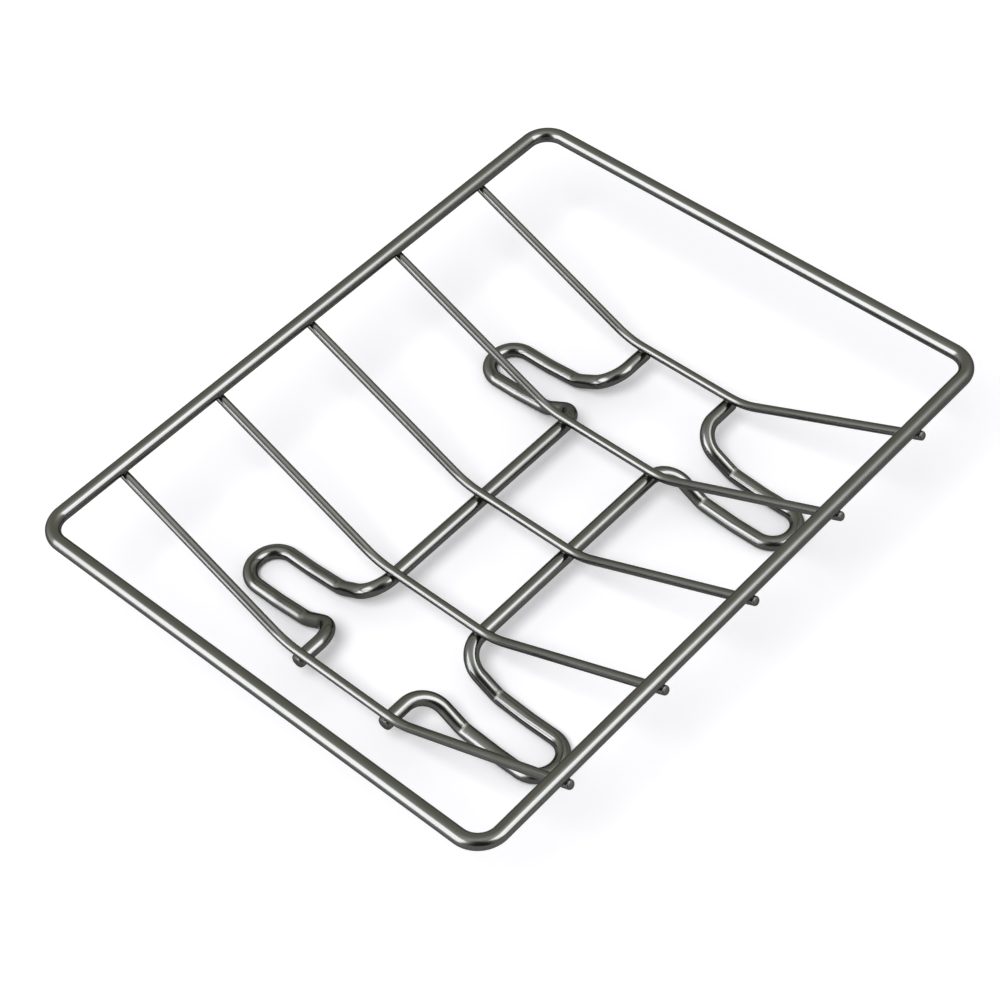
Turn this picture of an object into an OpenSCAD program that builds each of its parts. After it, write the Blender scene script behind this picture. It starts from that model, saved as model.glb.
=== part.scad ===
// Roasting basket: a rectangular wire ring that carries five bent cross wires,
// which form a shallow trough for a joint of meat, on two long foot rails.
// Eight lengths of round stainless wire, welded where they cross.
// Origin: on the surface that the feet stand on, under the middle of the ring.
// +X runs along the trough, +Y across it, +Z up.

/* [Ring] */
// Length of the ring, outside to outside
ring_length = 305; // [280:0.5:340]
// Width of the ring, outside to outside
ring_width = 236.5; // [220:0.5:270]
// Diameter of the ring's wire
ring_wire_d = 6.4; // [5:0.1:8]
// Bend radius of the ring's corners, to the wire's centre
ring_bend = 10.7; // [8:0.1:20]

/* [Cross wires] */
// Diameter of the cross wires
cross_wire_d = 4; // [3:0.1:5]
// Distance from each short side of the ring to the outermost cross wire, centre to centre
end_gap = 42.7; // [30:0.1:52]
// Depth of the trough, from the ring's wire centre to the wires along the floor
trough_depth = 46; // [30:0.5:60]
// Width of the trough's floor, between its two corners
trough_floor = 61.8; // [52:0.1:80]
// Bend radius at the two corners of the trough, to the wire's centre
trough_bend = 32; // [10:0.5:36]
// How far each round tip reaches past the ring's wire centre, along the slope
cross_tip = 3.5; // [2.5:0.1:8]

/* [Foot rails] */
// Diameter of the foot rails' wire
rail_wire_d = 6.4; // [5:0.1:8]
// How far each rail sits in from the corner of the trough's floor
rail_inset = 7.3; // [4:0.1:14]
// How far each round tip of a rail reaches past the outermost cross wire
rail_tip = 3.4; // [2.5:0.1:8]
// Gap along a rail from the second cross wire to the nearer leg of the foot
leg_gap = 11.1; // [10:0.1:14]
// Distance between the two legs of a foot, centre to centre
foot_width = 20.5; // [17:0.1:24]
// Straight stretch across the end of each foot, between its two bends
foot_end = 0.5; // [0.2:0.1:4]
// How far a foot reaches out from its rail, centre to centre
foot_length = 58.5; // [52:0.1:80]
// How far a foot drops from its rail to the ground, centre to centre
foot_drop = 13; // [10:0.1:18]
// Angle at which a leg falls away from its rail
leg_slope = 30.5; // [25:0.5:40]
// Height of the kink in a leg above the flat end of the foot, centre to centre
kink_rise = 1.5; // [0.5:0.1:3]
// Distance from the kink in a leg to the flat end of the foot
kink_run = 16.5; // [10:0.5:20]
// Bend radius from a rail into a leg, to the wire's centre
leg_bend = 11.5; // [8:0.1:13]
// Bend radius at the kink in a leg, to the wire's centre
kink_bend = 5; // [4:0.5:12]
// Bend radius where a leg runs out flat, to the wire's centre
flat_bend = 30; // [8:0.5:60]

/* [Welds] */
// How deep two crossing wires are pressed into each other
weld_set = 0.4; // [0.2:0.05:0.8]
// Hairline between the seat in one wire and the other wire that lies in it
weld_line = 0.02; // [0.01:0.01:0.05]

/* [Hidden] */
$fn = 48;

steel = "#8f9094";
wire_count = 5;

// Each bend reaches this far into the straight stretches on either side of it,
// where it is thinner all round by this step, so that the solids join cleanly
joint_lap = 0.05;
joint_step = 0.01;

// Distance between the centres of two wires that are welded together
ring_weld = (ring_wire_d + cross_wire_d) / 2 - weld_set;
rail_weld = (rail_wire_d + cross_wire_d) / 2 - weld_set;

// Heights of the wires' centres
ground_z = rail_wire_d / 2;
kink_z = ground_z + kink_rise;
rail_z = ground_z + foot_drop;
floor_z = rail_z + rail_weld;
ring_z = floor_z + trough_depth;

// Half sizes of the ring and the trough's floor, to the wires' centres
ring_x = (ring_length - ring_wire_d) / 2;
ring_y = (ring_width - ring_wire_d) / 2;
floor_y = trough_floor / 2;

// A cross wire climbs from the trough's corner to just under the ring's long side
climb_y = ring_y - floor_y;
climb = norm([climb_y, trough_depth]);
climb_angle = atan2(trough_depth, climb_y) - asin(ring_weld / climb);
climb_length = sqrt(climb ^ 2 - ring_weld ^ 2) + cross_tip - cross_wire_d / 2;
cross_end_y = floor_y + climb_length * cos(climb_angle);
cross_end_z = floor_z + climb_length * sin(climb_angle);

// Places along the basket, from its middle
outer_wire_x = ring_x - end_gap;
cross_pitch = 2 * outer_wire_x / (wire_count - 1);
inner_leg_x = outer_wire_x - cross_pitch + leg_gap;
outer_leg_x = inner_leg_x + foot_width;
rail_end_x = outer_wire_x + rail_tip - rail_wire_d / 2;

// Places across the basket, from its middle
rail_y = floor_y - rail_inset;
kink_y = rail_y + (foot_drop - kink_rise) / tan(leg_slope);
flat_y = kink_y + kink_run;
foot_y = rail_y + foot_length;

// Place of a cross wire along the basket, counted from 1
function wire_x(number) = (number - (wire_count + 1) / 2) * cross_pitch;

// A vector at length 1
function unit(v) = v / norm(v);

// A list from its last entry to its first
function backwards(list) = [for (i = [len(list) - 1 : -1 : 0]) list[i]];

// Angle through which a path turns at its corner i
function turn(path, i) =
  acos(unit(path[i] - path[i - 1]) * unit(path[i + 1] - path[i]));

// Distance from point i of a path to where its bend starts, 0 at either end
function trim(path, bends, i) =
  i == 0 || i == len(path) - 1 ? 0 : bends[i - 1] * tan(turn(path, i) / 2);

// Moves what follows to a point, with its axes along three unit vectors
module at_axes(point, x, y, z)
  multmatrix([
    [x[0], y[0], z[0], point[0]],
    [x[1], y[1], z[1], point[1]],
    [x[2], y[2], z[2], point[2]],
    [0, 0, 0, 1]
  ])
    children();

// Moves what follows to a point, with its Z axis towards another point
module aim(point, target) {
  z = unit(target - point);
  x = unit(cross(abs(z[0]) < 0.5 ? [1, 0, 0] : [0, 1, 0], z));
  at_axes(point, x, cross(z, x), z)
    children();
}

// Straight round bar from one point to another
module bar(from, to, d)
  aim(from, to)
    cylinder(d = d, h = norm(to - from));

// Half ball that rounds off the end of a bar
module round_tip(end, inside, d)
  aim(end, 2 * end - inside)
    rotate_extrude()
      intersection() {
        circle(d = d - 2 * joint_step);
        translate([0, -joint_lap])
          square(d);
      }

// Bend of radius r at corner i of a path
module bend(path, i, r, d) {
  arrive = unit(path[i] - path[i - 1]);
  leave = unit(path[i + 1] - path[i]);
  angle = turn(path, i);
  lap = joint_lap / r * 180 / PI;
  centre = path[i] + unit(leave - arrive) * r / cos(angle / 2);
  x = unit(path[i] - arrive * r * tan(angle / 2) - centre);
  at_axes(centre, x, arrive, cross(x, arrive))
    rotate([0, 0, -lap])
      rotate_extrude(angle = angle + 2 * lap, $fn = 96)
        translate([r, 0])
          circle(d = d - 2 * joint_step);
}

// Round wire along a path, with one bend radius for each corner of it
module bent_wire(path, bends, d) {
  last = len(path) - 1;
  for (i = [1 : last]) {
    way = unit(path[i] - path[i - 1]);
    from = path[i - 1] + way * trim(path, bends, i - 1);
    to = path[i] - way * trim(path, bends, i);
    bar(from, to, d);
  }
  for (i = [1 : last - 1])
    bend(path, i, bends[i - 1], d);
}

// The same, with both ends rounded off
module tipped_wire(path, bends, d) {
  last = len(path) - 1;
  bent_wire(path, bends, d);
  round_tip(path[0], path[1], d);
  round_tip(path[last], path[last - 1], d);
}

// The ring: one wire bent round four corners, its ends met at one short side
module ring_frame() {
  joint = [ring_x, 0, ring_z];
  corners = [
    [ring_x, ring_y, ring_z],
    [-ring_x, ring_y, ring_z],
    [-ring_x, -ring_y, ring_z],
    [ring_x, -ring_y, ring_z]
  ];
  color(steel)
    bent_wire(concat([joint], corners, [joint]), [for (c = corners) ring_bend], ring_wire_d);
}

// One cross wire: flat in the middle, climbing to both long sides of the ring,
// with a seat for the ring near each tip
module cross_wire(number) {
  x = wire_x(number);
  seat_d = ring_wire_d + 2 * weld_line;
  color(steel)
    difference() {
      tipped_wire(
        [
          [x, -cross_end_y, cross_end_z],
          [x, -floor_y, floor_z],
          [x, floor_y, floor_z],
          [x, cross_end_y, cross_end_z]
        ],
        [trough_bend, trough_bend],
        cross_wire_d
      );
      for (side = [-1, 1])
        bar(
          [x - cross_wire_d, side * ring_y, ring_z],
          [x + cross_wire_d, side * ring_y, ring_z],
          seat_d
        );
    }
}

// Path of one leg of a foot, from its rail to the end of the foot
function leg(x) = [
  [x, rail_y, rail_z],
  [x, kink_y, kink_z],
  [x, flat_y, ground_z],
  [x, foot_y, ground_z]
];

// The foot rail on the +Y side: a straight wire under the trough's floor, bent
// out into two long feet, with a seat for each cross wire
module foot_rail() {
  path = concat(
    [[-rail_end_x, rail_y, rail_z]],
    leg(-outer_leg_x),
    backwards(leg(-inner_leg_x)),
    leg(inner_leg_x),
    backwards(leg(outer_leg_x)),
    [[rail_end_x, rail_y, rail_z]]
  );
  leg_bends = [leg_bend, kink_bend, flat_bend, (foot_width - foot_end) / 2];
  foot_bends = concat(leg_bends, backwards(leg_bends));
  seat_d = cross_wire_d + 2 * weld_line;
  difference() {
    tipped_wire(path, concat(foot_bends, foot_bends), rail_wire_d);
    for (number = [1 : wire_count])
      bar(
        [wire_x(number), rail_y - rail_wire_d, floor_z],
        [wire_x(number), rail_y + rail_wire_d, floor_z],
        seat_d
      );
  }
}

module foot_rail_left()
  color(steel)
    foot_rail();

module foot_rail_right()
  color(steel)
    mirror([0, 1, 0])
      foot_rail();

ring_frame();
cross_wire(1);  // cross_wire_1
cross_wire(2);  // cross_wire_2
cross_wire(3);  // cross_wire_3
cross_wire(4);  // cross_wire_4
cross_wire(5);  // cross_wire_5
foot_rail_left();
foot_rail_right();
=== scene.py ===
"""The looks of the roasting basket: eight polished wires, their welds and a plain studio."""

import math

import bpy
import numpy as np
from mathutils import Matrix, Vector


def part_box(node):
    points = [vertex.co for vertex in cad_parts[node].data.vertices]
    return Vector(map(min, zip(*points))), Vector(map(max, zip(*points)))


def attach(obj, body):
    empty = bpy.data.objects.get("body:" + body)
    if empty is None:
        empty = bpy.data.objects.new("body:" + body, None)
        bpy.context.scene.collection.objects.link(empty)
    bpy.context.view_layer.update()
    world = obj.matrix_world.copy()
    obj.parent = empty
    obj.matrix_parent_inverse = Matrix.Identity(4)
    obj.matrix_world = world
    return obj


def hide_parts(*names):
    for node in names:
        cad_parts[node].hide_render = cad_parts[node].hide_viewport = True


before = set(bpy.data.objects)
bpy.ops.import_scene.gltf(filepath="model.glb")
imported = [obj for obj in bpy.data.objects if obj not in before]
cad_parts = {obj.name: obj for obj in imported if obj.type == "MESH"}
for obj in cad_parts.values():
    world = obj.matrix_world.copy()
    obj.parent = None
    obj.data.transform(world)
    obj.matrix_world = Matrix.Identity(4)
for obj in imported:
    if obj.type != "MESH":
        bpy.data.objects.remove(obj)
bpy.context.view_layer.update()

bl_info = {
    "name": "Roasting basket",
    "version": (1, 0, 0),
    "blender": (4, 5, 0),
    "location": "View3D > Sidebar > Basket",
    "description": "Builds the wires, the welds and the studio of a roasting basket",
    "category": "Add Mesh",
}

BODY = "root"
MM = 0.001

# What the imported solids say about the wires, in metres
RING_LOW, RING_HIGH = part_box("ring_frame")
CROSS_NODES = sorted(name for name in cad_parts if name.startswith("cross_wire_"))
CROSS_LOW, CROSS_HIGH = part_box(CROSS_NODES[0])
CROSS_X = [sum(corner.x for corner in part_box(name)) / 2 for name in CROSS_NODES]
RAIL_LOW, RAIL_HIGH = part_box("foot_rail_left")
RING_D = RING_HIGH.z - RING_LOW.z
CROSS_D = CROSS_HIGH.x - CROSS_LOW.x
# The rails are bent from the same wire as the ring
RAIL_D = RING_D

# How the wires' stray and the beads' lumps vary in space: cells in a metre, and the seed
STRAY_CELLS, STRAY_SEED = 9.0, 3.7
LUMP_CELLS, LUMP_SEED = 900.0, 5.1
BEAD_SEGMENTS, BEAD_RINGS = 28, 16

# A tip closes to this share of the wire's radius, so that its cap is still a real face
TIP_CLOSE = 0.004

# At a glancing angle a tumbled wire mirrors less than clean metal does
EDGE_TINT = (0.45, 0.45, 0.45, 1.0)


# ------------------------------------------------------------------ user sizes and colours


class BasketSizes(bpy.types.PropertyGroup):
    """Sizes of the bent wires that the solids' boxes don't give"""

    ring_bend: bpy.props.FloatProperty(
        name="Ring bend",
        description="Bend radius of the ring's corners, to the wire's centre",
        default=10.7 * MM,
        unit="LENGTH",
    )
    trough_floor: bpy.props.FloatProperty(
        name="Trough floor",
        description="Width of the trough's floor, between its two corners",
        default=61.8 * MM,
        unit="LENGTH",
    )
    trough_bend: bpy.props.FloatProperty(
        name="Trough bend",
        description="Bend radius of a cross wire at the trough's corners",
        default=32 * MM,
        unit="LENGTH",
    )
    leg_gap: bpy.props.FloatProperty(
        name="Leg gap",
        description="Gap from the second cross wire to the nearer leg of a foot",
        default=11.1 * MM,
        unit="LENGTH",
    )
    foot_width: bpy.props.FloatProperty(
        name="Foot width",
        description="Distance between the two legs of a foot, centre to centre",
        default=20.5 * MM,
        unit="LENGTH",
    )
    foot_end: bpy.props.FloatProperty(
        name="Foot end",
        description="Straight stretch across the end of a foot",
        default=0.5 * MM,
        unit="LENGTH",
    )
    leg_slope: bpy.props.FloatProperty(
        name="Leg slope",
        description="Angle at which a leg falls away from its rail",
        default=math.radians(30.5),
        subtype="ANGLE",
    )
    kink_rise: bpy.props.FloatProperty(
        name="Kink rise",
        description="Height of a leg's kink above the flat end of its foot",
        default=1.5 * MM,
        unit="LENGTH",
    )
    kink_run: bpy.props.FloatProperty(
        name="Kink run",
        description="Distance from a leg's kink to the flat end of its foot",
        default=16.5 * MM,
        unit="LENGTH",
    )
    leg_bend: bpy.props.FloatProperty(
        name="Leg bend",
        description="Bend radius from a rail into a leg",
        default=11.5 * MM,
        unit="LENGTH",
    )
    kink_bend: bpy.props.FloatProperty(
        name="Kink bend",
        description="Bend radius at a leg's kink",
        default=12 * MM,
        unit="LENGTH",
    )
    flat_bend: bpy.props.FloatProperty(
        name="Flat bend",
        description="Bend radius where a leg runs out flat",
        default=30 * MM,
        unit="LENGTH",
    )


class SurfaceSizes(bpy.types.PropertyGroup):
    """How true the wires are, and the marks that bending and welding leave on them"""

    sides: bpy.props.IntProperty(
        name="Sides",
        description="Number of faces round a wire",
        default=40,
        min=12,
        max=64,
    )
    straightness: bpy.props.FloatProperty(
        name="Straightness",
        description="How far a wire strays from its true line",
        default=0.12 * MM,
        unit="LENGTH",
    )
    mark_depth: bpy.props.FloatProperty(
        name="Tool mark depth",
        description="Depth of the nick that the bending tool leaves at a leg's kink",
        default=0.17 * MM,
        unit="LENGTH",
    )
    mark_reach: bpy.props.FloatProperty(
        name="Tool mark reach",
        description="How far the nick runs along the wire on either side of the kink",
        default=1.1 * MM,
        unit="LENGTH",
    )
    bead_width: bpy.props.FloatProperty(
        name="Weld bead width",
        description="Width of the metal squeezed out round a weld",
        default=3.9 * MM,
        unit="LENGTH",
    )
    bead_height: bpy.props.FloatProperty(
        name="Weld bead height",
        description="Height of the metal squeezed out round a weld",
        default=1.9 * MM,
        unit="LENGTH",
    )
    bead_unevenness: bpy.props.FloatProperty(
        name="Weld bead unevenness",
        description="How far the squeezed-out metal swells and sinks",
        default=0.1 * MM,
        unit="LENGTH",
    )


class BasketColours(bpy.types.PropertyGroup):
    """Colours of the steel and the studio, as sRGB hex values"""

    steel: bpy.props.StringProperty(
        name="Steel",
        description="Colour of the polished wire",
        default="#595956",
    )
    weld: bpy.props.StringProperty(
        name="Weld",
        description="Colour of the metal round a weld",
        default="#3c3a35",
    )
    floor: bpy.props.StringProperty(
        name="Floor",
        description="Colour of the studio floor",
        default="#e9e9eb",
    )


# ------------------------------------------------------------------ helpers


def linear(code):
    """An sRGB hex colour as linear red, green, blue and alpha."""
    shares = [int(code[i : i + 2], 16) / 255 for i in (1, 3, 5)]
    curve = [s / 12.92 if s <= 0.04045 else ((s + 0.055) / 1.055) ** 2.4 for s in shares]
    return (*curve, 1.0)


def add_node(tree, kind, inputs=None, **settings):
    """Adds a node with its settings; an input takes a value, a socket or a node's first output."""
    node = tree.nodes.new(kind)
    for name, value in settings.items():
        setattr(node, name, value)
    for key, value in (inputs or {}).items():
        source = value.outputs[0] if isinstance(value, bpy.types.Node) else value
        if isinstance(source, bpy.types.NodeSocket):
            tree.links.new(source, node.inputs[key])
        else:
            node.inputs[key].default_value = source
    return node


# ------------------------------------------------------------------ wire paths


def bent_path(corners, bends, straight_step=4 * MM, turn_step=math.radians(3.5)):
    """Points along a bent wire: straight stretches, and an arc at each corner between the ends."""
    corners = [np.array(c, float) for c in corners]
    points = [corners[0]]

    def go_straight(to):
        start = points[-1]
        count = max(1, math.ceil(np.linalg.norm(to - start) / straight_step))
        points.extend(start + (to - start) * i / count for i in range(1, count + 1))

    for i in range(1, len(corners) - 1):
        arrive = corners[i] - corners[i - 1]
        leave = corners[i + 1] - corners[i]
        arrive, leave = arrive / np.linalg.norm(arrive), leave / np.linalg.norm(leave)
        angle = math.acos(np.clip(arrive @ leave, -1, 1))
        radius = bends[i - 1]
        go_straight(corners[i] - arrive * radius * math.tan(angle / 2))
        inward = (leave - arrive) / np.linalg.norm(leave - arrive)
        centre = corners[i] + inward * radius / math.cos(angle / 2)
        spoke = points[-1] - centre
        count = max(2, math.ceil(angle / turn_step))
        for j in range(1, count + 1):
            a = angle * j / count
            points.append(centre + spoke * math.cos(a) + arrive * radius * math.sin(a))
    go_straight(corners[-1])
    return points


def rounded_ends(points, radius, length=0.62, bluntness=0.6, steps=9):
    """Adds a sheared and tumbled tip at both ends, and gives each point's share of the radius."""
    angles = [math.pi / 2 * i / steps for i in range(1, steps + 1)]
    reaches = [length * radius * math.sin(a) ** bluntness for a in angles]
    first = points[0] - points[1]
    last = points[-1] - points[-2]
    first, last = first / np.linalg.norm(first), last / np.linalg.norm(last)
    start = [points[0] + first * reach for reach in reversed(reaches)]
    end = [points[-1] + last * reach for reach in reaches]
    taper = [max(math.cos(a), 0.0) ** bluntness for a in angles[:-1]] + [TIP_CLOSE]
    shares = taper[::-1] + [1.0] * len(points) + taper
    return start + points + end, shares


def path_object(name, points, shares, marks, closed):
    """A line of edges along the points, with the radius share and the tool mark of each."""
    count = len(points)
    edges = [(i, i + 1) for i in range(count - 1)]
    if closed:
        edges.append((count - 1, 0))
    mesh = bpy.data.meshes.new(name)
    mesh.from_pydata([tuple(p) for p in points], edges, [])
    for key, values in (("radius_share", shares), ("tool_mark", marks)):
        attribute = mesh.attributes.new(key, "FLOAT", "POINT")
        attribute.data.foreach_set("value", values)
    obj = bpy.data.objects.new(name, mesh)
    bpy.context.scene.collection.objects.link(obj)
    return obj


# ------------------------------------------------------------------ node trees


def new_tree(name, sockets):
    """A Geometry Nodes tree with named inputs, and the sockets that give their values."""
    tree = bpy.data.node_groups.new(name, "GeometryNodeTree")
    tree.interface.new_socket("Geometry", in_out="INPUT", socket_type="NodeSocketGeometry")
    for label, (kind, default) in sockets.items():
        socket = tree.interface.new_socket(label, in_out="INPUT", socket_type=kind)
        if default is not None:
            socket.default_value = default
    tree.interface.new_socket("Geometry", in_out="OUTPUT", socket_type="NodeSocketGeometry")
    return tree, add_node(tree, "NodeGroupInput").outputs


def swept_wire_tree():
    """Sweeps a round wire along a line: stray, tapered ends, tool marks and wire coordinates."""
    tree, given = new_tree(
        "Swept wire",
        {
            "Wire diameter": ("NodeSocketFloat", 6 * MM),
            "Sides": ("NodeSocketInt", 40),
            "Straightness": ("NodeSocketFloat", 0.1 * MM),
            "Mark depth": ("NodeSocketFloat", 0.1 * MM),
            "Material": ("NodeSocketMaterial", None),
        },
    )
    place = add_node(tree, "GeometryNodeInputPosition")
    line = add_node(tree, "GeometryNodeMeshToCurve", {"Mesh": given["Geometry"]})

    # The stray reads the place in space, so wires that are welded together stray together
    stray = add_node(
        tree,
        "ShaderNodeTexNoise",
        {"Vector": place, "Scale": STRAY_CELLS, "Detail": 0.0, "W": STRAY_SEED},
        noise_dimensions="4D",
    )
    centred = add_node(
        tree,
        "ShaderNodeMapRange",
        {"Vector": stray.outputs["Color"], 9: (-1, -1, -1), 10: (1, 1, 1)},
        data_type="FLOAT_VECTOR",
    )
    offset = add_node(
        tree,
        "ShaderNodeVectorMath",
        {0: centred.outputs["Vector"], "Scale": given["Straightness"]},
        operation="SCALE",
    )
    strayed = add_node(tree, "GeometryNodeSetPosition", {"Geometry": line, "Offset": offset})

    length = add_node(tree, "GeometryNodeSplineParameter").outputs["Length"]
    along = add_node(
        tree,
        "GeometryNodeStoreNamedAttribute",
        {"Geometry": strayed, "Name": "along", "Value": length},
        data_type="FLOAT",
        domain="POINT",
    )
    profile = add_node(
        tree,
        "GeometryNodeCurvePrimitiveCircle",
        {"Resolution": given["Sides"], "Radius": 1.0},
        mode="RADIUS",
    )
    around = add_node(
        tree,
        "GeometryNodeStoreNamedAttribute",
        {"Geometry": profile, "Name": "around", "Value": place},
        data_type="FLOAT_VECTOR",
        domain="POINT",
    )
    half = add_node(
        tree, "ShaderNodeMath", {0: given["Wire diameter"], 1: 0.5}, operation="MULTIPLY"
    )
    share = add_node(
        tree, "GeometryNodeInputNamedAttribute", {"Name": "radius_share"}, data_type="FLOAT"
    )
    radius = add_node(tree, "ShaderNodeMath", {0: share, 1: half}, operation="MULTIPLY")
    tube = add_node(
        tree,
        "GeometryNodeCurveToMesh",
        {"Curve": along, "Profile Curve": around, "Scale": radius, "Fill Caps": True},
    )

    # Wire coordinates in metres: two round the wire's own section and one along it
    section = add_node(
        tree, "GeometryNodeInputNamedAttribute", {"Name": "around"}, data_type="FLOAT_VECTOR"
    )
    scaled = add_node(
        tree, "ShaderNodeVectorMath", {0: section, "Scale": half}, operation="SCALE"
    )
    across = add_node(tree, "ShaderNodeSeparateXYZ", {0: scaled}).outputs
    travelled = add_node(
        tree, "GeometryNodeInputNamedAttribute", {"Name": "along"}, data_type="FLOAT"
    )
    wire_space = add_node(
        tree, "ShaderNodeCombineXYZ", {0: across[0], 1: across[1], 2: travelled}
    )
    measured = add_node(
        tree,
        "GeometryNodeStoreNamedAttribute",
        {"Geometry": tube, "Name": "wire_space", "Value": wire_space},
        data_type="FLOAT_VECTOR",
        domain="POINT",
    )

    # The tool nicks the upper side only
    normal = add_node(tree, "GeometryNodeInputNormal")
    upward = add_node(tree, "ShaderNodeSeparateXYZ", {0: normal}).outputs[2]
    upper = add_node(tree, "ShaderNodeMath", {0: upward, 1: 0.0}, operation="MAXIMUM")
    mark = add_node(
        tree, "GeometryNodeInputNamedAttribute", {"Name": "tool_mark"}, data_type="FLOAT"
    )
    nick_and_glint = add_node(tree, "ShaderNodeMath", {0: mark, 1: upper}, operation="MULTIPLY")
    depth = add_node(
        tree, "ShaderNodeMath", {0: nick_and_glint, 1: given["Mark depth"]}, operation="MULTIPLY"
    )
    sunk = add_node(tree, "ShaderNodeMath", {0: depth, 1: -1.0}, operation="MULTIPLY")
    push = add_node(
        tree, "ShaderNodeVectorMath", {0: normal, "Scale": sunk}, operation="SCALE"
    )
    # The nick's weight, most where it faces up, is kept for the material, which paints the nick
    # lighter as a painted highlight
    nick_weight_kept = add_node(
        tree,
        "GeometryNodeStoreNamedAttribute",
        {"Geometry": measured, "Name": "scuff_and_glint", "Value": nick_and_glint},
        data_type="FLOAT",
        domain="POINT",
    )
    nicked = add_node(tree, "GeometryNodeSetPosition", {"Geometry": nick_weight_kept, "Offset": push})
    smooth = add_node(tree, "GeometryNodeSetShadeSmooth", {"Geometry": nicked})
    real = add_node(tree, "GeometryNodeRealizeInstances", {"Geometry": smooth})
    painted = add_node(
        tree, "GeometryNodeSetMaterial", {"Geometry": real, "Material": given["Material"]}
    )
    add_node(tree, "NodeGroupOutput", {0: painted})
    return tree


def weld_bead_tree():
    """Sets one small uneven bead of squeezed-out metal on each weld, leaned as its wires lean."""
    tree, given = new_tree(
        "Weld beads",
        {
            "Bead width": ("NodeSocketFloat", 4 * MM),
            "Bead height": ("NodeSocketFloat", 2 * MM),
            "Unevenness": ("NodeSocketFloat", 0.1 * MM),
            "Material": ("NodeSocketMaterial", None),
        },
    )
    ball = add_node(
        tree,
        "GeometryNodeMeshUVSphere",
        {"Segments": BEAD_SEGMENTS, "Rings": BEAD_RINGS, "Radius": 0.5},
    )
    width = given["Bead width"]
    size = add_node(tree, "ShaderNodeCombineXYZ", {0: width, 1: width, 2: given["Bead height"]})
    lean = add_node(
        tree, "GeometryNodeInputNamedAttribute", {"Name": "lean"}, data_type="FLOAT_VECTOR"
    )
    beads = add_node(
        tree,
        "GeometryNodeInstanceOnPoints",
        {"Points": given["Geometry"], "Instance": ball, "Rotation": lean, "Scale": size},
    )
    real = add_node(tree, "GeometryNodeRealizeInstances", {"Geometry": beads})
    lumps = add_node(
        tree,
        "ShaderNodeTexNoise",
        {
            "Vector": add_node(tree, "GeometryNodeInputPosition"),
            "Scale": LUMP_CELLS,
            "Detail": 1.0,
            "W": LUMP_SEED,
        },
        noise_dimensions="4D",
    )
    centred = add_node(tree, "ShaderNodeMapRange", {"Value": lumps, "To Min": -1.0})
    swell = add_node(
        tree, "ShaderNodeMath", {0: centred, 1: given["Unevenness"]}, operation="MULTIPLY"
    )
    push = add_node(
        tree,
        "ShaderNodeVectorMath",
        {0: add_node(tree, "GeometryNodeInputNormal"), "Scale": swell},
        operation="SCALE",
    )
    uneven = add_node(tree, "GeometryNodeSetPosition", {"Geometry": real, "Offset": push})
    smooth = add_node(tree, "GeometryNodeSetShadeSmooth", {"Geometry": uneven})
    painted = add_node(
        tree, "GeometryNodeSetMaterial", {"Geometry": smooth, "Material": given["Material"]}
    )
    add_node(tree, "NodeGroupOutput", {0: painted})
    return tree


TREE_NAMES = {swept_wire_tree: "Swept wire", weld_bead_tree: "Weld beads"}


def grow(obj, build, values):
    """Runs a tree on an object with the named inputs, and keeps the result as its plain mesh."""
    tree = bpy.data.node_groups.get(TREE_NAMES[build]) or build()
    modifier = obj.modifiers.new("Build", "NODES")
    modifier.node_group = tree
    for item in tree.interface.items_tree:
        if item.in_out == "INPUT" and item.name in values:
            modifier[item.identifier] = values[item.name]
    bpy.context.view_layer.update()
    evaluated = obj.evaluated_get(bpy.context.evaluated_depsgraph_get())
    mesh = bpy.data.meshes.new_from_object(evaluated)
    if not mesh.polygons:
        raise RuntimeError(f"{obj.name}: the tree {tree.name} made no faces")
    obj.modifiers.remove(modifier)
    obj.data = mesh
    mesh.name = obj.name


# ------------------------------------------------------------------ materials


def shader_tree(name):
    """A new material with an empty node tree."""
    material = bpy.data.materials.new(name)
    material.use_nodes = True
    material.node_tree.nodes.clear()
    return material, material.node_tree


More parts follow.
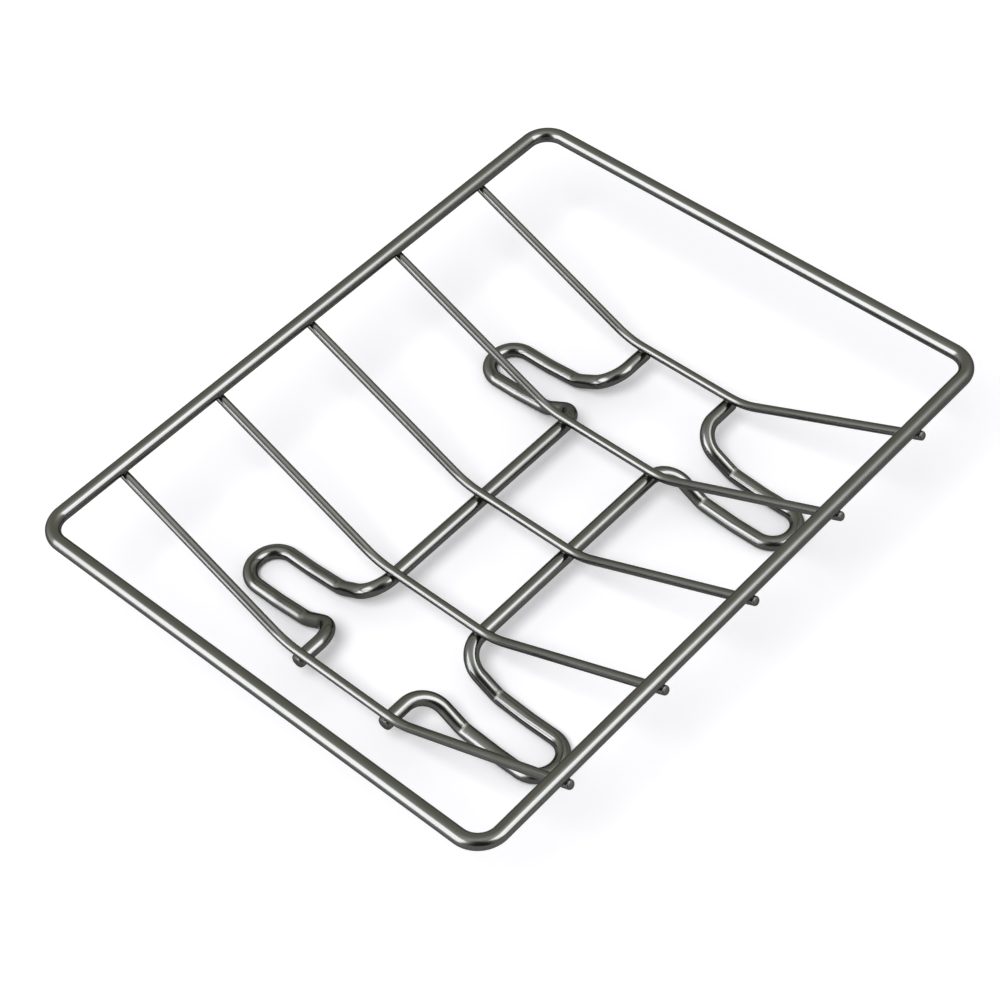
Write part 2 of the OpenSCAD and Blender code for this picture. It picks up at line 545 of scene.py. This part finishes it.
def polished_steel(colour):
    """Polished stainless steel wire: drawn through a die, bent, then tumbled bright.

    The eye gets a near mirror: a dark, even body with crisp white strips, broken up along
    the wire by faint draw lines and by slow changes in how bright the polish is. The sheared
    and tumbled tips are rougher, and their colour is painted darker as painted shade. The
    bending tool's nicks are rougher, and their colour is painted lighter as a painted highlight.
    """
    material, tree = shader_tree("polished_stainless_steel_wire")
    place = add_node(tree, "ShaderNodeAttribute", attribute_name="wire_space").outputs["Vector"]

    # Draw lines are far finer than a pixel, so they are drawn 0.5 mm apart and 25 mm long
    stretched = add_node(tree, "ShaderNodeMapping", {"Vector": place, "Scale": (1.0, 1.0, 0.02)})
    lines = add_node(
        tree,
        "ShaderNodeTexNoise",
        {"Vector": stretched, "Scale": 2000.0, "Detail": 2.0, "Roughness": 0.5},
    )
    # The polish changes over stretches of about 12 mm
    patches = add_node(
        tree,
        "ShaderNodeTexNoise",
        {"Vector": place, "Scale": 80.0, "Detail": 3.0, "Roughness": 0.6},
    )
    # A tip's radius tapers from the wire's full one, and its finish follows it: a tip is rougher,
    # and its colour is painted darker as painted shade
    share = add_node(tree, "ShaderNodeAttribute", attribute_name="radius_share").outputs["Fac"]
    dull_and_shaded = add_node(
        tree,
        "ShaderNodeMapRange",
        {"Value": share, "From Min": 0.97, "From Max": 0.8, "To Min": 0.0, "To Max": 1.0},
        interpolation_type="SMOOTHSTEP",
    )
    both = add_node(tree, "ShaderNodeMath", {0: lines, 1: patches}, operation="ADD")
    polish = add_node(
        tree,
        "ShaderNodeMapRange",
        {"Value": both, "From Min": 0.5, "From Max": 1.5, "To Min": 0.88, "To Max": 1.12},
    )
    # Painted shade: a tip's colour is painted a fifth darker
    tone = add_node(
        tree, "ShaderNodeMath", {0: dull_and_shaded, 1: -0.2, 2: polish}, operation="MULTIPLY_ADD"
    )
    # The bending tool's nicks are rubbed rough, and their colour is painted lighter as a painted
    # highlight, most where a nick faces up
    nick_and_glint = add_node(tree, "ShaderNodeAttribute", attribute_name="scuff_and_glint").outputs["Fac"]
    scuff_and_glint = add_node(
        tree,
        "ShaderNodeMapRange",
        {"Value": nick_and_glint, "From Min": 0.05, "From Max": 0.35},
        interpolation_type="SMOOTHSTEP",
    )
    tone = add_node(
        tree, "ShaderNodeMath", {0: scuff_and_glint, 1: 0.8, 2: tone}, operation="MULTIPLY_ADD"
    )
    base = add_node(
        tree, "ShaderNodeVectorMath", {0: linear(colour)[:3], "Scale": tone}, operation="SCALE"
    )
    sheen = add_node(
        tree,
        "ShaderNodeMapRange",
        {"Value": patches, "From Min": 0.25, "From Max": 0.75, "To Min": 0.14, "To Max": 0.2},
    )
    rough = add_node(
        tree, "ShaderNodeMath", {0: dull_and_shaded, 1: 0.3, 2: sheen}, operation="MULTIPLY_ADD"
    )
    rough = add_node(
        tree, "ShaderNodeMath", {0: scuff_and_glint, 1: 0.25, 2: rough}, operation="MULTIPLY_ADD"
    )
    relief = add_node(
        tree,
        "ShaderNodeBump",
        {"Strength": 0.08, "Distance": 0.02 * MM, "Height": lines},
    )
    shader = add_node(
        tree,
        "ShaderNodeBsdfPrincipled",
        {
            "Base Color": base,
            "Metallic": 1.0,
            "Roughness": rough,
            "Specular Tint": EDGE_TINT,
            "Normal": relief,
        },
    )
    add_node(tree, "ShaderNodeOutputMaterial", {"Surface": shader})
    return material


def weld_steel(colour):
    """Resistance-weld nugget: steel that was squeezed out hot between two wires and froze.

    The eye gets a small, dull, darker rim in the gap where two wires meet.
    """
    material, tree = shader_tree("resistance_welded_stainless_steel")
    place = add_node(tree, "ShaderNodeTexCoord").outputs["Object"]
    # Scale marks about 0.7 mm across
    marks = add_node(
        tree, "ShaderNodeTexNoise", {"Vector": place, "Scale": 1400.0, "Detail": 2.0}
    )
    tone = add_node(tree, "ShaderNodeMapRange", {"Value": marks, "To Min": 0.7, "To Max": 1.3})
    base = add_node(
        tree, "ShaderNodeVectorMath", {0: linear(colour)[:3], "Scale": tone}, operation="SCALE"
    )
    rough = add_node(tree, "ShaderNodeMapRange", {"Value": marks, "To Min": 0.3, "To Max": 0.5})
    shader = add_node(
        tree,
        "ShaderNodeBsdfPrincipled",
        {"Base Color": base, "Metallic": 1.0, "Roughness": rough},
    )
    add_node(tree, "ShaderNodeOutputMaterial", {"Surface": shader})
    return material


MATERIAL_NAMES = {
    polished_steel: "polished_stainless_steel_wire",
    weld_steel: "resistance_welded_stainless_steel",
}


def one_material(build, colour):
    """The material that a function builds, made once and then shared."""
    return bpy.data.materials.get(MATERIAL_NAMES[build]) or build(colour)


# ------------------------------------------------------------------ operators


def sweep(name, node, diameter, points, shares=None, marks=None, closed=False):
    """Makes one wire along its points and lets it stand for its CAD node."""
    scene = bpy.context.scene
    surface = scene.basket_surface
    count = len(points)
    wire = path_object(name, points, shares or [1.0] * count, marks or [0.0] * count, closed)
    values = {
        "Wire diameter": diameter,
        "Sides": surface.sides,
        "Straightness": surface.straightness,
        "Mark depth": surface.mark_depth,
        "Material": one_material(polished_steel, scene.basket_colours.steel),
    }
    grow(wire, swept_wire_tree, values)
    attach(wire, BODY)
    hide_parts(node)


class BASKET_OT_ring(bpy.types.Operator):
    """Bends the heavy ring wire round its four corners"""

    bl_idname = "basket.ring"
    bl_label = "Ring"

    def execute(self, context):
        radius = RING_D / 2
        x, y, z = RING_HIGH.x - radius, RING_HIGH.y - radius, RING_HIGH.z - radius
        joint = (x, 0, z)
        corners = [joint, (x, y, z), (-x, y, z), (-x, -y, z), (x, -y, z), joint]
        bends = [context.scene.basket_sizes.ring_bend] * 4
        points = bent_path(corners, bends)[:-1]
        sweep("ring_steel", "ring_frame", RING_D, points, closed=True)
        return {"FINISHED"}


class BASKET_OT_cross_wires(bpy.types.Operator):
    """Bends the thin cross wires that form the trough"""

    bl_idname = "basket.cross_wires"
    bl_label = "Cross wires"

    def execute(self, context):
        sizes = context.scene.basket_sizes
        radius = CROSS_D / 2
        end_y, end_z = CROSS_HIGH.y - radius, CROSS_HIGH.z - radius
        floor_y, floor_z = sizes.trough_floor / 2, CROSS_LOW.z + radius
        for node, x in zip(CROSS_NODES, CROSS_X):
            corners = [
                (x, -end_y, end_z),
                (x, -floor_y, floor_z),
                (x, floor_y, floor_z),
                (x, end_y, end_z),
            ]
            points, shares = rounded_ends(bent_path(corners, [sizes.trough_bend] * 2), radius)
            sweep(node.replace("cross_wire", "trough_steel"), node, CROSS_D, points, shares)
        return {"FINISHED"}


class BASKET_OT_foot_wires(bpy.types.Operator):
    """Bends the two heavy wires under the trough out into four flat feet"""

    bl_idname = "basket.foot_wires"
    bl_label = "Foot wires"

    def execute(self, context):
        scene = context.scene
        for side, node in ((1, "foot_rail_left"), (-1, "foot_rail_right")):
            self.bend_rail(scene.basket_sizes, scene.basket_surface.mark_reach, side, node)
        return {"FINISHED"}

    def bend_rail(self, sizes, reach, side, node):
        """One rail with its two feet, on one side of the basket."""
        radius = RAIL_D / 2
        rail_y, rail_z = RAIL_LOW.y + radius, RAIL_HIGH.z - radius
        foot_y, ground_z = RAIL_HIGH.y - radius, RAIL_LOW.z + radius
        end_x = RAIL_HIGH.x - radius
        kink_z = ground_z + sizes.kink_rise
        kink_y = rail_y + (rail_z - kink_z) / math.tan(sizes.leg_slope)
        inner_x = CROSS_X[-2] + sizes.leg_gap
        outer_x = inner_x + sizes.foot_width

        def leg(x):
            return [
                (x, side * rail_y, rail_z),
                (x, side * kink_y, kink_z),
                (x, side * (kink_y + sizes.kink_run), ground_z),
                (x, side * foot_y, ground_z),
            ]

        corners = [(-end_x, side * rail_y, rail_z)]
        corners += leg(-outer_x) + leg(-inner_x)[::-1]
        corners += leg(inner_x) + leg(outer_x)[::-1]
        corners += [(end_x, side * rail_y, rail_z)]
        end_bend = (sizes.foot_width - sizes.foot_end) / 2
        down = [sizes.leg_bend, sizes.kink_bend, sizes.flat_bend, end_bend]
        bends = (down + down[::-1]) * 2
        points, shares = rounded_ends(bent_path(corners, bends, straight_step=2 * MM), radius)
        marks = None
        # The photograph shows the tool's nicks on the near rail only
        if side < 0:
            leg_x = (-outer_x, -inner_x, inner_x, outer_x)
            kinks = [np.array((x, -kink_y, kink_z)) for x in leg_x]
            marks = [max(tool_mark(point, kink, reach) for kink in kinks) for point in points]
        sweep(node.replace("rail", "steel"), node, RAIL_D, points, shares, marks)


def tool_mark(point, kink, reach):
    """How deep the bending tool's nick is at a point: full at the kink, none at its reach."""
    gap = np.linalg.norm(point - kink) / reach
    return max(0.0, 1 - gap * gap) ** 2


class BASKET_OT_weld_beads(bpy.types.Operator):
    """Sets a small bead of squeezed-out metal at each weld"""

    bl_idname = "basket.weld_beads"
    bl_label = "Weld beads"

    def execute(self, context):
        scene = context.scene
        sizes, surface = scene.basket_sizes, scene.basket_surface
        ring = Vector((0, RING_HIGH.y - RING_D / 2, RING_HIGH.z - RING_D / 2))
        cross_r = CROSS_D / 2
        end = Vector((0, CROSS_HIGH.y - cross_r, CROSS_HIGH.z - cross_r))
        corner = Vector((0, sizes.trough_floor / 2, CROSS_LOW.z + cross_r))
        climb = (end - corner).normalized()
        under = corner + climb * (ring - corner).dot(climb)
        meet = ring + (under - ring).normalized() * (RING_D / 2)
        slope = math.atan2(climb.z, climb.y)
        rail_y = RAIL_LOW.y + RAIL_D / 2
        places, leans = [], []
        for x in CROSS_X:
            for side in (-1, 1):
                places += [(x, side * meet.y, meet.z), (x, side * rail_y, RAIL_HIGH.z)]
                leans += [(side * slope, 0, 0), (0, 0, 0)]
        mesh = bpy.data.meshes.new("weld_beads")
        mesh.from_pydata(places, [], [])
        lean = mesh.attributes.new("lean", "FLOAT_VECTOR", "POINT")
        lean.data.foreach_set("vector", [value for triple in leans for value in triple])
        beads = bpy.data.objects.new("weld_beads", mesh)
        scene.collection.objects.link(beads)
        values = {
            "Bead width": surface.bead_width,
            "Bead height": surface.bead_height,
            "Unevenness": surface.bead_unevenness,
            "Material": one_material(weld_steel, scene.basket_colours.weld),
        }
        grow(beads, weld_bead_tree, values)
        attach(beads, BODY)
        return {"FINISHED"}


# The even light that the world gives to all that isn't a mirror
FILL_GLOW = 0.58
PLAIN_WHITE = (1, 1, 1, 1)

# The studio as the wires mirror it, found from where the photograph's strips of light lie:
# an even pale dome, two soft boxes, four soft patches of light and a dark opening.
# A corner is an azimuth and an elevation in degrees. An edge is the sine of half the angle
# over which a panel fades out, and a patch's reach is about an angle in radians.
DOME_GLOW = 0.86
DOME_TINT = (1.0, 1.0, 0.85)
BOX_TINT = (0.95, 0.98, 1.06)
SOFT_BOXES = (
    {
        "corners": ((-67, 12), (-50, 37), (-31, 55), (-75, 61), (-109, 54), (-94, 27), (-78, 19)),
        "edge": 0.08,
        "glow": 7.4,
    },
    {
        "corners": ((122, 46), (182, 43), (187, 34), (181, 14), (173, -3), (147, -3)),
        "edge": 0.08,
        "glow": 7.5,
    },
)
DARK_OPENING = {"corners": ((-167, 5), (-162, 71), (-111, 47), (-107, -4)), "edge": 0.18}
OPENING_DARKNESS = 0.92
SOFT_PATCHES = (
    {"azimuth": -43, "elevation": 53, "reach": 0.28, "glow": 1.9},
    {"azimuth": 132, "elevation": 12, "reach": 0.43, "glow": 1.35},
    {"azimuth": -168, "elevation": 56, "reach": 0.37, "glow": 1.6},
    {"azimuth": 0, "elevation": 90, "reach": 0.3, "glow": 0.35},
)

# The floor's gain where the camera sees it, which makes it white, and its smaller gain in
# the wires, because the photograph's wires mirror the floor darker than the camera sees it
FLOOR_SEEN = 1.36
FLOOR_MIRRORED = 1.05

# The lamp falls off away from the basket, so the seen gain grows there: between these
# distances in metres, and to this many times
FAR_FLOOR = (0.25, 2.0)
FAR_FLOOR_GROWTH = 2.6

# The floor's half size in metres, and its clear surface
FLOOR_HALF = 6.0
FLOOR_GLOSS = 0.4
ACRYLIC_IOR = 1.45
ACRYLIC_ROUGHNESS = 0.15

# The lamp, where the shading round the photograph's feet puts it: its azimuth and elevation
# in degrees, its distance and width in metres, and its watts
LAMP_DIRECTION = (-158, 59)
LAMP_DISTANCE = 2.2
LAMP_SIZE = 1.07
LAMP_POWER = 26.0

# The camera, found by fitting the wires' outlines: metres, degrees and millimetres
CAMERA_PLACE = (-0.46301, -0.45377, 0.79422)
CAMERA_TURN = (40.387, 3.0179, -48.3815)
CAMERA_LENS = 88.687
CAMERA_SENSOR = 36


def compass(azimuth, elevation):
    """The unit vector at an azimuth and an elevation in degrees."""
    a, e = math.radians(azimuth), math.radians(elevation)
    return Vector((math.cos(e) * math.cos(a), math.cos(e) * math.sin(a), math.sin(e)))


def panel_share(tree, way, corners, edge):
    """1 where a direction meets a flat panel of the studio and 0 elsewhere, with soft edges."""
    turned = [compass(*corner) for corner in corners]
    middle = sum(turned, Vector())
    share = 1.0
    for here, there in zip(turned, turned[1:] + turned[:1]):
        inward = here.cross(there).normalized()
        if inward.dot(middle) < 0:
            inward.negate()
        depth = add_node(
            tree, "ShaderNodeVectorMath", {0: way, 1: inward}, operation="DOT_PRODUCT"
        ).outputs["Value"]
        fade = add_node(
            tree,
            "ShaderNodeMapRange",
            {"Value": depth, "From Min": -edge, "From Max": edge},
            interpolation_type="SMOOTHSTEP",
        )
        share = add_node(tree, "ShaderNodeMath", {0: share, 1: fade}, operation="MULTIPLY")
    return share


def patch_share(tree, way, patch):
    """A soft round glow: 1 at its middle, fading with the angle from it."""
    facing = compass(patch["azimuth"], patch["elevation"])
    near = add_node(
        tree, "ShaderNodeVectorMath", {0: way, 1: facing}, operation="DOT_PRODUCT"
    ).outputs["Value"]
    gap = add_node(tree, "ShaderNodeMath", {0: near, 1: 1.0}, operation="SUBTRACT")
    fall = add_node(tree, "ShaderNodeMath", {0: gap, 1: patch["reach"] ** 2}, operation="DIVIDE")
    return add_node(tree, "ShaderNodeMath", {0: fall}, operation="EXPONENT")


class BASKET_OT_studio(bpy.types.Operator):
    """Sets the white floor, the soft lamp, the world and the camera"""

    bl_idname = "basket.studio"
    bl_label = "Studio"

    def execute(self, context):
        scene = context.scene
        self.floor(scene)
        self.lamp(scene)
        self.world(scene)
        self.camera(scene)
        scene.view_settings.view_transform = "Standard"
        return {"FINISHED"}

    def floor(self, scene):
        """A wide white floor that keeps the basket's shadow."""
        half = FLOOR_HALF
        mesh = bpy.data.meshes.new("studio_floor")
        corners = [(-half, -half, 0), (half, -half, 0), (half, half, 0), (-half, half, 0)]
        mesh.from_pydata(corners, [], [(0, 1, 2, 3)])
        floor = bpy.data.objects.new("studio_floor", mesh)
        scene.collection.objects.link(floor)
        # Glossy white acrylic sheet: a white body under a clear surface, which mirrors the
        # studio's lights up at the wires at a low angle
        material, tree = shader_tree("glossy_white_acrylic")
        path = add_node(tree, "ShaderNodeLightPath").outputs
        mirrored = add_node(
            tree,
            "ShaderNodeMath",
            {0: path["Is Glossy Ray"], 1: path["Is Transmission Ray"]},
            operation="MAXIMUM",
        )
        in_wires = add_node(
            tree,
            "ShaderNodeMapRange",
            {"Value": mirrored, "To Min": 1.0, "To Max": FLOOR_MIRRORED},
        )
        seen = add_node(
            tree,
            "ShaderNodeMapRange",
            {"Value": path["Is Camera Ray"], "To Min": 0.0, "To Max": FLOOR_SEEN},
        )
        place = add_node(tree, "ShaderNodeTexCoord").outputs["Object"]
        distance = add_node(
            tree, "ShaderNodeVectorMath", {0: place}, operation="LENGTH"
        ).outputs["Value"]
        growth = add_node(
            tree,
            "ShaderNodeMapRange",
            {
                "Value": distance,
                "From Min": FAR_FLOOR[0],
                "From Max": FAR_FLOOR[1],
                "To Min": 1.0,
                "To Max": FAR_FLOOR_GROWTH,
            },
        )
        lit = add_node(tree, "ShaderNodeMath", {0: seen, 1: growth}, operation="MULTIPLY")
        gain = add_node(tree, "ShaderNodeMath", {0: in_wires, 1: lit}, operation="MAXIMUM")
        white = linear(scene.basket_colours.floor)[:3]
        colour = add_node(
            tree, "ShaderNodeVectorMath", {0: white, "Scale": gain}, operation="SCALE"
        )
        body = add_node(tree, "ShaderNodeBsdfDiffuse", {"Color": colour})
        gloss = add_node(tree, "ShaderNodeBsdfAnisotropic", {"Roughness": ACRYLIC_ROUGHNESS})
        fresnel = add_node(tree, "ShaderNodeFresnel", {"IOR": ACRYLIC_IOR})
        sheen = add_node(
            tree, "ShaderNodeMath", {0: fresnel, 1: FLOOR_GLOSS}, operation="MULTIPLY"
        )
        surface = add_node(tree, "ShaderNodeMixShader", {0: sheen, 1: body, 2: gloss})
        add_node(tree, "ShaderNodeOutputMaterial", {"Surface": surface})
        mesh.materials.append(material)

    def lamp(self, scene):
        """A soft round lamp by the camera, which lights the floor and draws the soft shadows."""
        lamp = bpy.data.lights.new("studio_lamp", "AREA")
        lamp.shape = "DISK"
        lamp.size = LAMP_SIZE
        lamp.energy = LAMP_POWER
        obj = bpy.data.objects.new("studio_lamp", lamp)
        away = compass(*LAMP_DIRECTION)
        obj.location = away * LAMP_DISTANCE
        obj.rotation_euler = away.to_track_quat("Z", "Y").to_euler()
        # The wires see the soft boxes of the world instead
        obj.visible_glossy = False
        scene.collection.objects.link(obj)

    def world(self, scene):
        """A white studio: even soft light for the floor, and what the wires mirror."""
        world = bpy.data.worlds.new("studio_world")
        scene.world = world
        world.use_nodes = True
        tree = world.node_tree
        tree.nodes.clear()
        way = add_node(tree, "ShaderNodeTexCoord").outputs["Generated"]

        opening = panel_share(tree, way, **DARK_OPENING)
        left = add_node(
            tree,
            "ShaderNodeMapRange",
            {"Value": opening, "To Min": 1.0, "To Max": 1 - OPENING_DARKNESS},
        )
        dome = add_node(tree, "ShaderNodeMath", {0: left, 1: DOME_GLOW}, operation="MULTIPLY")
        patches = 0.0
        for patch in SOFT_PATCHES:
            share = patch_share(tree, way, patch)
            patches = add_node(
                tree,
                "ShaderNodeMath",
                {0: share, 1: patch["glow"], 2: patches},
                operation="MULTIPLY_ADD",
            )
        lights = add_node(tree, "ShaderNodeMath", {0: patches, 1: left}, operation="MULTIPLY")
        for box in SOFT_BOXES:
            share = panel_share(tree, way, box["corners"], box["edge"])
            lights = add_node(
                tree,
                "ShaderNodeMath",
                {0: share, 1: box["glow"], 2: lights},
                operation="MULTIPLY_ADD",
            )
        warm = add_node(
            tree, "ShaderNodeVectorMath", {0: DOME_TINT, "Scale": dome}, operation="SCALE"
        )
        white = add_node(
            tree, "ShaderNodeVectorMath", {0: BOX_TINT, "Scale": lights}, operation="SCALE"
        )
        mirrored = add_node(tree, "ShaderNodeVectorMath", {0: warm, 1: white}, operation="ADD")

        path = add_node(tree, "ShaderNodeLightPath").outputs
        mirror = add_node(
            tree,
            "ShaderNodeMath",
            {0: path["Is Glossy Ray"], 1: path["Is Transmission Ray"]},
            operation="MAXIMUM",
        )
        fill = add_node(
            tree, "ShaderNodeBackground", {"Color": PLAIN_WHITE, "Strength": FILL_GLOW}
        )
        studio = add_node(tree, "ShaderNodeBackground", {"Color": mirrored, "Strength": 1.0})
        backdrop = add_node(tree, "ShaderNodeBackground", {"Color": PLAIN_WHITE, "Strength": 1.0})
        unseen = add_node(tree, "ShaderNodeMixShader", {0: mirror, 1: fill, 2: studio})
        light = add_node(
            tree, "ShaderNodeMixShader", {0: path["Is Camera Ray"], 1: unseen, 2: backdrop}
        )
        add_node(tree, "ShaderNodeOutputWorld", {"Surface": light})

    def camera(self, scene):
        """The camera at the photograph's viewing angle."""
        camera = bpy.data.cameras.new("studio_camera")
        camera.sensor_width = CAMERA_SENSOR
        camera.lens = CAMERA_LENS
        obj = bpy.data.objects.new("studio_camera", camera)
        obj.location = CAMERA_PLACE
        obj.rotation_euler = [math.radians(angle) for angle in CAMERA_TURN]
        scene.collection.objects.link(obj)
        scene.camera = obj


class BASKET_PT_panel(bpy.types.Panel):
    """Lists the sizes, the colours and the steps that build the basket"""

    bl_idname = "BASKET_PT_panel"
    bl_label = "Roasting basket"
    bl_space_type = "VIEW_3D"
    bl_region_type = "UI"
    bl_category = "Basket"

    def draw(self, context):
        for key, group in GROUPS.items():
            box = self.layout.box()
            for name in group.__annotations__:
                box.prop(getattr(context.scene, key), name)
        for step in STEPS:
            self.layout.operator(step.bl_idname)


GROUPS = {
    "basket_sizes": BasketSizes,
    "basket_surface": SurfaceSizes,
    "basket_colours": BasketColours,
}
STEPS = (
    BASKET_OT_ring,
    BASKET_OT_cross_wires,
    BASKET_OT_foot_wires,
    BASKET_OT_weld_beads,
    BASKET_OT_studio,
)
CLASSES = (*GROUPS.values(), *STEPS, BASKET_PT_panel)


def register():
    """Registers the classes and hangs the property groups on the scene."""
    for item in CLASSES:
        bpy.utils.register_class(item)
    for key, group in GROUPS.items():
        setattr(bpy.types.Scene, key, bpy.props.PointerProperty(type=group))


def unregister():
    """Takes the property groups and the classes away again."""
    for key in GROUPS:
        delattr(bpy.types.Scene, key)
    for item in reversed(CLASSES):
        bpy.utils.unregister_class(item)


def main():
    """Builds the basket and its studio."""
    register()
    bpy.ops.basket.ring()
    bpy.ops.basket.cross_wires()
    bpy.ops.basket.foot_wires()
    bpy.ops.basket.weld_beads()
    bpy.ops.basket.studio()


if __name__ == "__main__":
    main()
